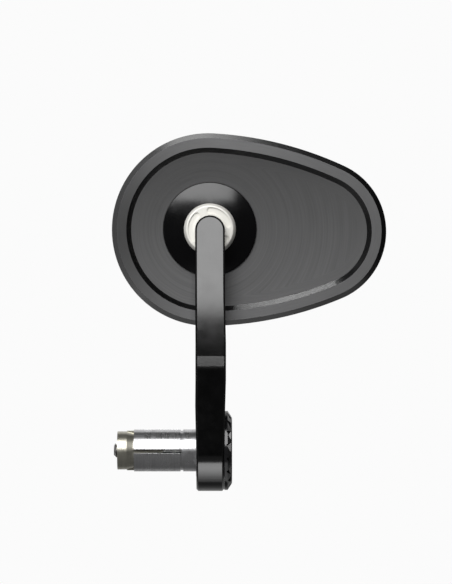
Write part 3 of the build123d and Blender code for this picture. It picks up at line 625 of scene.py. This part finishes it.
def make_milled_egg():
    """Distance in from the egg's edge, the cutter's path over the recessed floor, and the greys of floor
    and rim: painted light times milling marks.
    """
    tree, inputs, out = new_effect(
        "milled_egg", [("Position", "Vector", None)],
        [("Inset", "Float"), ("Path", "Float"), ("Streak", "Float"), ("Floor Marks And Painted Light", "Float"),
         ("Rim Marks And Painted Light", "Float")])
    shift = place(tree, "VectorMath", {0: inputs["Position"], 1: tuple(lobe_at)}, operation="SUBTRACT")
    about_lobe = {"Vector": shift.outputs[0], "Angle": -HEAD_ROLL}
    turned = place(tree, "VectorRotate", about_lobe, rotation_type="Y_AXIS")
    axes = place(tree, "SeparateXYZ", {0: turned.outputs[0]}).outputs
    along = axes["X"]
    across = reckon(tree, "ABSOLUTE", axes["Z"])

    def reach(x, z):
        """Distance from a point on the egg's plane."""
        dx = reckon(tree, "SUBTRACT", along, x)
        dz = reckon(tree, "SUBTRACT", across, z)
        square = reckon(tree, "MULTIPLY_ADD", dx, dx, reckon(tree, "MULTIPLY", dz, dz))
        return reckon(tree, "SQRT", square)

    lobe_arm = FLANK_R - lobe_r
    tip_arm = FLANK_R - TIP_R
    flank_x = (lobe_arm**2 - tip_arm**2 + lobe_to_tip**2) / (2 * lobe_to_tip)
    flank_z = sqrt(lobe_arm**2 - flank_x**2)
    lobe_inset = reckon(tree, "SUBTRACT", lobe_r, reach(0.0, 0.0))
    tip_inset = reckon(tree, "SUBTRACT", TIP_R, reach(lobe_to_tip, 0.0))
    flank_inset = reckon(tree, "SUBTRACT", FLANK_R, reach(flank_x, -flank_z))
    in_lobe = reckon(tree, "LESS_THAN", along, reckon(tree, "MULTIPLY", across, -flank_x / flank_z))
    tip_line = reckon(tree, "MULTIPLY_ADD", across, (lobe_to_tip - flank_x) / flank_z, lobe_to_tip)
    in_tip = reckon(tree, "GREATER_THAN", along, tip_line)

    def choose(share, when_off, when_on):
        return place(tree, "Mix", {0: share, 2: when_off, 3: when_on}, data_type="FLOAT").outputs[0]

    inset = choose(in_tip, choose(in_lobe, flank_inset, lobe_inset), tip_inset)
    feed(tree, out.inputs["Inset"], inset)
    ball_shift = {0: inputs["Position"], 1: tuple(ball_centre)}
    from_ball = place(tree, "VectorMath", ball_shift, operation="SUBTRACT")
    flat = place(tree, "VectorMath", {0: from_ball.outputs[0], 1: (1.0, 0.0, 1.0)}, operation="MULTIPLY")
    radius = place(tree, "VectorMath", {0: flat.outputs[0]}, operation="LENGTH").outputs["Value"]
    outward = reckon(tree, "SUBTRACT", radius, SOCKET_RING_R)
    inward = reckon(tree, "SUBTRACT", inset, STEP_END)
    wander = speckle(tree, inputs["Position"], PATH_WANDER, detail=2.0)
    round_dome = spread(tree, reckon(tree, "MULTIPLY_ADD", wander, DOME_WANDER, inward), *DOME_PASSES)
    passes = []
    for distance in (inward, outward):
        turns = reckon(tree, "DIVIDE", distance, PATH_STEP)
        wavy = reckon(tree, "MULTIPLY_ADD", wander, PATH_WAVE, turns)
        passes.append(reckon(tree, "SINE", reckon(tree, "MULTIPLY", wavy, 2 * pi)))
    path = choose(round_dome, *passes)
    feed(tree, out.inputs["Path"], spread(tree, path, -1.0, 1.0))
    across_path = choose(round_dome, inward, outward)
    lines = place(tree, "CombineXYZ", {
        "X": reckon(tree, "DIVIDE", across_path, PASS_W),
        "Y": reckon(tree, "DIVIDE", along, PASS_L),
        "Z": reckon(tree, "DIVIDE", axes["Z"], PASS_L),
    }).outputs[0]
    pass_noise = place(tree, "TexNoise", {"Vector": lines, "Scale": 1.0, "Detail": 2.0}).outputs["Fac"]
    # Painted light on the floor: grey brighter towards the bottom and darker on the left, times the milling
    # ripple.
    spots = place(tree, "SeparateXYZ", {0: flat.outputs[0]}).outputs
    left = reckon(tree, "MINIMUM", spots["X"], 0.0)
    painted_light_slope = reckon(tree, "SUBTRACT", reckon(tree, "MULTIPLY", left, FLOOR_SHADE_LEFT), spots["Z"])
    floor_painted_light = spread(tree, painted_light_slope, *FLOOR_LIGHT_LEAN, *FLOOR_PAINTED_LIGHT)
    ripple = spread(tree, pass_noise, *MARKS_NOISE, 1 - PASS_CONTRAST, 1 + PASS_CONTRAST)
    feed(tree, out.inputs["Floor Marks And Painted Light"], reckon(tree, "MULTIPLY", floor_painted_light, ripple))
    # Painted light on the rim: grey brighter at top and bottom and on the right, times the fine marks.
    side = reckon(tree, "DIVIDE", spots["X"], radius)
    rise = reckon(tree, "DIVIDE", spots["Z"], radius)
    painted_top_bottom = reckon(tree, "MULTIPLY_ADD", reckon(tree, "MULTIPLY", rise, rise), RIM_PAINTED_TOP_BOTTOM, RIM_PAINTED_LIGHT)
    rim_painted_light = reckon(tree, "MULTIPLY_ADD", side, RIM_PAINTED_RIGHT, painted_top_bottom)
    fine = place(tree, "CombineXYZ", {
        "X": reckon(tree, "DIVIDE", inset, STREAK_W),
        "Y": reckon(tree, "DIVIDE", along, STREAK_L),
        "Z": reckon(tree, "DIVIDE", axes["Z"], STREAK_L),
    }).outputs[0]
    streak = place(tree, "TexNoise", {"Vector": fine, "Scale": 1.0, "Detail": 2.0}).outputs["Fac"]
    feed(tree, out.inputs["Streak"], streak)
    fine_marks = spread(tree, streak, *MARKS_NOISE, 1 - STREAK_CONTRAST, 1 + STREAK_CONTRAST)
    feed(tree, out.inputs["Rim Marks And Painted Light"], reckon(tree, "MULTIPLY", rim_painted_light, fine_marks))
    return tree


milled_egg = make_milled_egg()


def finish_head():
    """One anodised surface whose roughness and relief follow how each zone was cut, with painted light in
    the grey of its rim and floor.
    """
    tree, shader, where = new_finish("head_anodised", {"IOR": ANODISED_IOR})
    egg = use_effect(tree, milled_egg, {"Position": where})
    surface = use_effect(tree, blasted_grain, {"Position": where, "Grain": HEAD_GRAIN})
    use = use_effect(tree, handling, {"Position": where})
    edges = use_effect(tree, softened_edges, {"Radius": EDGE_R})
    past_chamfer = reckon(tree, "GREATER_THAN", egg["Inset"], CHAMFER_W)
    past_rim = reckon(tree, "GREATER_THAN", egg["Inset"], RIM_END)
    past_step = reckon(tree, "GREATER_THAN", egg["Inset"], STEP_END)
    facing = place(tree, "SeparateXYZ", {0: place(tree, "NewGeometry").outputs["Normal"]}).outputs["Y"]
    at_back = reckon(tree, "LESS_THAN", facing, HEAD_FACING)
    rim = reckon(tree, "MULTIPLY", reckon(tree, "SUBTRACT", past_chamfer, past_rim), at_back)
    floor = reckon(tree, "MULTIPLY", past_step, at_back)
    # Rim and floor greys are painted light times milling marks; chamfer and step keep the plain dye black.
    rim_painted_grey = mix_colours(tree, egg["Rim Marks And Painted Light"], PAINTED_GREY_DARK, PAINTED_GREY_PALE)
    floor_painted_grey = mix_colours(tree, egg["Floor Marks And Painted Light"], PAINTED_GREY_DARK, PAINTED_GREY_PALE)
    dye_and_painted_light = mix_colours(tree, floor, mix_colours(tree, rim, HEAD_BLACK, rim_painted_grey), floor_painted_grey)
    rubbed = reckon(tree, "MULTIPLY", edges["Edge"], HEAD_EDGE_RUBBED)
    scratched = reckon(tree, "MULTIPLY", use["Scratch"], HEAD_SCRATCHED)
    traces = reckon(tree, "MAXIMUM", rubbed, scratched)
    feed(tree, shader.inputs["Base Color"], mix_colours(tree, traces, dye_and_painted_light, HEAD_RUBBED))
    flat_parts = reckon(tree, "MAXIMUM", rim, floor)
    satin = spread(tree, flat_parts, 0.0, 1.0, *HEAD_ROUGH)
    dulled = reckon(tree, "MULTIPLY", surface["Tone"], HEAD_DULLED)
    film = reckon(tree, "MULTIPLY_ADD", use["Smudge"], HEAD_SMUDGED, dulled)
    feed(tree, shader.inputs["Roughness"], reckon(tree, "ADD", satin, film))
    path = reckon(tree, "MULTIPLY", egg["Path"], reckon(tree, "MULTIPLY", floor, PATH_SHARE))
    streak = reckon(tree, "MULTIPLY", egg["Streak"], rim)
    grain = reckon(tree, "MULTIPLY", surface["Height"], spread(tree, flat_parts, 0.0, 1.0, *GRAIN_SHARE))
    relief = reckon(tree, "ADD", reckon(tree, "ADD", grain, path), streak)
    bump(tree, shader, relief, HEAD_RELIEF, edges["Normal"])


finish_head()
dress("head_anodised", "head_body")

# Bonding pad and glass. Dark adhesive foam holds a convex pane in the head's front recess; the
# pane is silvered, so it is one bright mirror with a very slight ripple and dust.
FOAM = (0.02, 0.02, 0.021, 1.0)
FOAM_PALE = (0.07, 0.07, 0.07, 1.0)
SILVERING = (0.80, 0.83, 0.84, 1.0)
DUST = (0.62, 0.62, 0.60, 1.0)
DUST_SIZE = 0.35 * MM
DUST_SEEN = (0.72, 0.8)
DUST_SHARE = 0.5
GLASS_SMUDGED = 0.12
GLASS_LAYERS = {"Metallic": 1.0, "Coat Weight": 0.6, "Coat Roughness": 0.02, "Coat IOR": 1.5}
GLASS_ROUGH = (0.012, 0.16)
GLASS_RIPPLE = 30 * MM
GLASS_RIPPLE_D = 0.004 * MM

finish_soft("bonding_foam", FOAM, FOAM_PALE, roughness=0.8, size=0.25 * MM, depth=0.03 * MM)
dress("bonding_foam", "glass_bonding_pad")


def finish_mirror():
    """Silvered glass: smooth, with a breath of dust and wiping marks."""
    tree, shader, where = new_finish("mirror_glass", GLASS_LAYERS)
    use = use_effect(tree, handling, {"Position": where})
    dust = speckle(tree, where, DUST_SIZE, detail=2.0)
    specks = reckon(tree, "MULTIPLY", spread(tree, dust, *DUST_SEEN), DUST_SHARE)
    veil = reckon(tree, "MULTIPLY_ADD", use["Smudge"], GLASS_SMUDGED, specks)
    feed(tree, shader.inputs["Base Color"], mix_colours(tree, veil, SILVERING, DUST))
    feed(tree, shader.inputs["Roughness"], spread(tree, veil, 0.0, 1.0, *GLASS_ROUGH))
    ripple = speckle(tree, where, GLASS_RIPPLE, detail=1.0)
    bump(tree, shader, ripple, GLASS_RIPPLE_D)


finish_mirror()
dress("mirror_glass", "mirror_glass")

# Studio. Pale floor far below, with painted shade in front of and under the object for all but camera rays,
# white air behind, one broad soft light above the camera, and lesser ones that draw the bright lines on the
# step, the ring and the cap or fill the dark sides.
PIXEL = 0.4198 * MM
IMAGE_H = 584
IMAGE_MIDDLE = Vector((12.5, 0.0, 66.5)) * MM
CAMERA_AWAY = 1.4
SENSOR = 36.0
SOFTBOX_AWAY = 2.2
SOFTBOX_SIDES = (-34.0, 11.0)
SOFTBOX_HEIGHTS = (15.2, 62.0)
SOFTBOX_RADIANCE = 6.0
CAP_KEY_AHEAD = 0.05
CAP_KEY_RADIANCE = 10.5
STEP_STRIP_AT = Vector((-0.1, -0.11, 0.5))
STEP_STRIP_SIZE = (0.1, 0.04)
STEP_STRIP_RADIANCE = 15.0
STRIPS_Z = -0.1
CAP_STRIP_X = 0.019
CAP_STRIP_W = 0.06
CAP_GLOW = ((-0.165, 0.0, 2.2),)
RING_STRIP_W = 0.04
RING_GLOW = (
    (-0.165, -0.085, 4.2), (-0.085, -0.068, 3.7), (-0.068, -0.052, 3.0), (-0.052, -0.036, 2.2),
    (-0.036, -0.018, 1.3), (-0.018, 0.0, 0.6))
LEFT_FILL_AT = Vector((-0.385, -0.32, 0.05))
LEFT_FILL_SIZE = (0.25, 0.86)
LEFT_FILL_RADIANCE = 1.05
LOW_FILL_AT = Vector((0.0, -0.3, -0.32))
LOW_FILL_H = 0.21
LOW_FILLS = ((-0.13, 0.54, 0.95), (0.27, 0.26, 0.5))
FLOOR_Z = -0.4
FLOOR_R = 1.6
FLOOR_SIDES = 96
PAPER_SURFACE = {"Roughness": 0.9, "Specular IOR Level": 0.2}
PAPER_FIBRE = 4 * MM
PAPER_FAR = (0.15, 0.5)
PAPER_PALE = (0.72, 0.72, 0.72, 1.0)
PAPER_WHITE = (0.78, 0.78, 0.78, 1.0)
PAPER_PAINTED_SHADE = (0.16, 0.16, 0.16, 1.0)
AIR_BEHIND = (0.5, 0.66)
AIR_RISE = (-0.2, 0.8, 0.5, 1.0)
AIR_SIDES = (-0.15, 0.05, 0.02, 0.1)
AIR_GLOW = 0.95
AIR_SEEN = 0.965


def make_floor():
    """Round pale floor, well below the object; to all but camera rays it carries painted shade, dim in
    front of and under the object and pale far behind.
    """
    mesh = bpy.data.meshes.new("studio_floor")
    angles = [2 * pi * i / FLOOR_SIDES for i in range(FLOOR_SIDES)]
    rim = [(FLOOR_R * cos(angle), FLOOR_R * sin(angle), FLOOR_Z) for angle in angles]
    mesh.from_pydata(rim, [], [tuple(range(FLOOR_SIDES))])
    floor = bpy.data.objects.new("studio_floor", mesh)
    scene.collection.objects.link(floor)
    tree, shader, where = new_finish("floor_paper", PAPER_SURFACE)
    fibre = speckle(tree, where, PAPER_FIBRE, detail=3.0)
    paper = mix_colours(tree, fibre, PAPER_PALE, PAPER_WHITE)
    seen = place(tree, "LightPath").outputs["Is Camera Ray"]
    # Painted shade: to rays other than the camera's the floor is dim in front of and under the object.
    far = spread(tree, place(tree, "SeparateXYZ", {0: where}).outputs["Y"], *PAPER_FAR)
    paper_with_painted_shade = mix_colours(tree, far, PAPER_PAINTED_SHADE, paper)
    feed(tree, shader.inputs["Base Color"], mix_colours(tree, seen, paper_with_painted_shade, paper))
    mesh.materials.append(bpy.data.materials["floor_paper"])


def make_air():
    """White to the camera; to the object, dim in front and bright behind."""
    scene.world = bpy.data.worlds.new("studio_air")
    scene.world.use_nodes = True
    tree = scene.world.node_tree
    direction = place(tree, "TexCoord").outputs["Generated"]
    axes = place(tree, "SeparateXYZ", {0: direction}).outputs
    behind = spread(tree, axes["Y"], *AIR_BEHIND)
    rise = spread(tree, axes["Z"], *AIR_RISE)
    bright = reckon(tree, "MULTIPLY", behind, rise)
    sides = spread(tree, axes["Y"], *AIR_SIDES)
    glow = spread(tree, bright, 0.0, 1.0, sides, AIR_GLOW)
    seen = place(tree, "LightPath").outputs["Is Camera Ray"]
    extra = reckon(tree, "MULTIPLY", seen, reckon(tree, "SUBTRACT", AIR_SEEN, glow))
    feed(tree, tree.nodes["Background"].inputs["Strength"], reckon(tree, "ADD", glow, extra))
    tree.nodes["Background"].inputs["Color"].default_value = (1.0, 1.0, 1.0, 1.0)


def hang_light(name, middle, towards, width, height, radiance, up=(0, 0, 1), only=()):
    """Soft rectangle that shines towards a point with a known radiance, on all or on some pieces."""
    light = bpy.data.lights.new(name, "AREA")
    light.shape = "RECTANGLE"
    light.size = width
    light.size_y = height
    light.energy = radiance * pi * width * height
    lamp = bpy.data.objects.new(name, light)
    facing = (Vector(towards) - Vector(middle)).normalized()
    side = facing.cross(Vector(up)).normalized()
    turn = Matrix((side, side.cross(facing), -facing)).transposed().to_4x4()
    lamp.matrix_world = Matrix.Translation(middle) @ turn
    lamp.visible_camera = False
    scene.collection.objects.link(lamp)
    if only:
        lit = bpy.data.collections.new(name + "_lit")
        for node in only:
            lit.objects.link(frame["nodes"][node])
        lamp.light_linking.receiver_collection = lit


make_floor()
make_air()
softbox_left, softbox_right = (SOFTBOX_AWAY * tan(radians(angle)) for angle in SOFTBOX_SIDES)
softbox_low, softbox_high = (SOFTBOX_AWAY * tan(radians(angle)) for angle in SOFTBOX_HEIGHTS)
softbox_size = (softbox_right - softbox_left, softbox_high - softbox_low)
softbox_middle = IMAGE_MIDDLE + Vector((
    (softbox_left + softbox_right) / 2, -SOFTBOX_AWAY, (softbox_low + softbox_high) / 2))
ahead = Vector((0, 1, 0))
hang_light("softbox", softbox_middle, softbox_middle + ahead, *softbox_size, SOFTBOX_RADIANCE)
cap_key_middle = softbox_middle + CAP_KEY_AHEAD * ahead
hang_light(
    "cap_key", cap_key_middle, cap_key_middle + ahead, *softbox_size, CAP_KEY_RADIANCE,
    only=("end_cap",))
hang_light(
    "step_strip", STEP_STRIP_AT + IMAGE_MIDDLE, IMAGE_MIDDLE, *STEP_STRIP_SIZE, STEP_STRIP_RADIANCE,
    up=ahead, only=("head_body",))
low_strips = (
    ("cap_strip", "end_cap", CAP_STRIP_X, CAP_STRIP_W, CAP_GLOW),
    ("ring_strip", "arm", ball_centre.x, RING_STRIP_W, RING_GLOW))
for name, node, strip_x, width, strips in low_strips:
    for front, back, radiance in strips:
        low_middle = Vector((strip_x, (front + back) / 2, STRIPS_Z))
        above = low_middle + Vector((0, 0, 1))
        hang_light(name, low_middle, above, width, back - front, radiance, up=ahead, only=(node,))
hang_light(
    "left_fill", LEFT_FILL_AT + IMAGE_MIDDLE, IMAGE_MIDDLE, *LEFT_FILL_SIZE, LEFT_FILL_RADIANCE)
for side, width, radiance in LOW_FILLS:
    below_middle = Vector((side, 0, 0)) + LOW_FILL_AT + IMAGE_MIDDLE
    hang_light(
        "low_fill", below_middle, below_middle - LOW_FILL_AT, width, LOW_FILL_H, radiance,
        only=("head_body",))

camera_data = bpy.data.cameras.new("camera")
camera_data.sensor_width = SENSOR
camera_data.lens = SENSOR * CAMERA_AWAY / (IMAGE_H * PIXEL)
camera_data.clip_start = 0.05
camera = bpy.data.objects.new("camera", camera_data)
camera.location = IMAGE_MIDDLE + Vector((0, -CAMERA_AWAY, 0))
camera.rotation_euler = (pi / 2, 0, 0)
scene.collection.objects.link(camera)
scene.camera = camera
scene.view_settings.view_transform = "Standard"
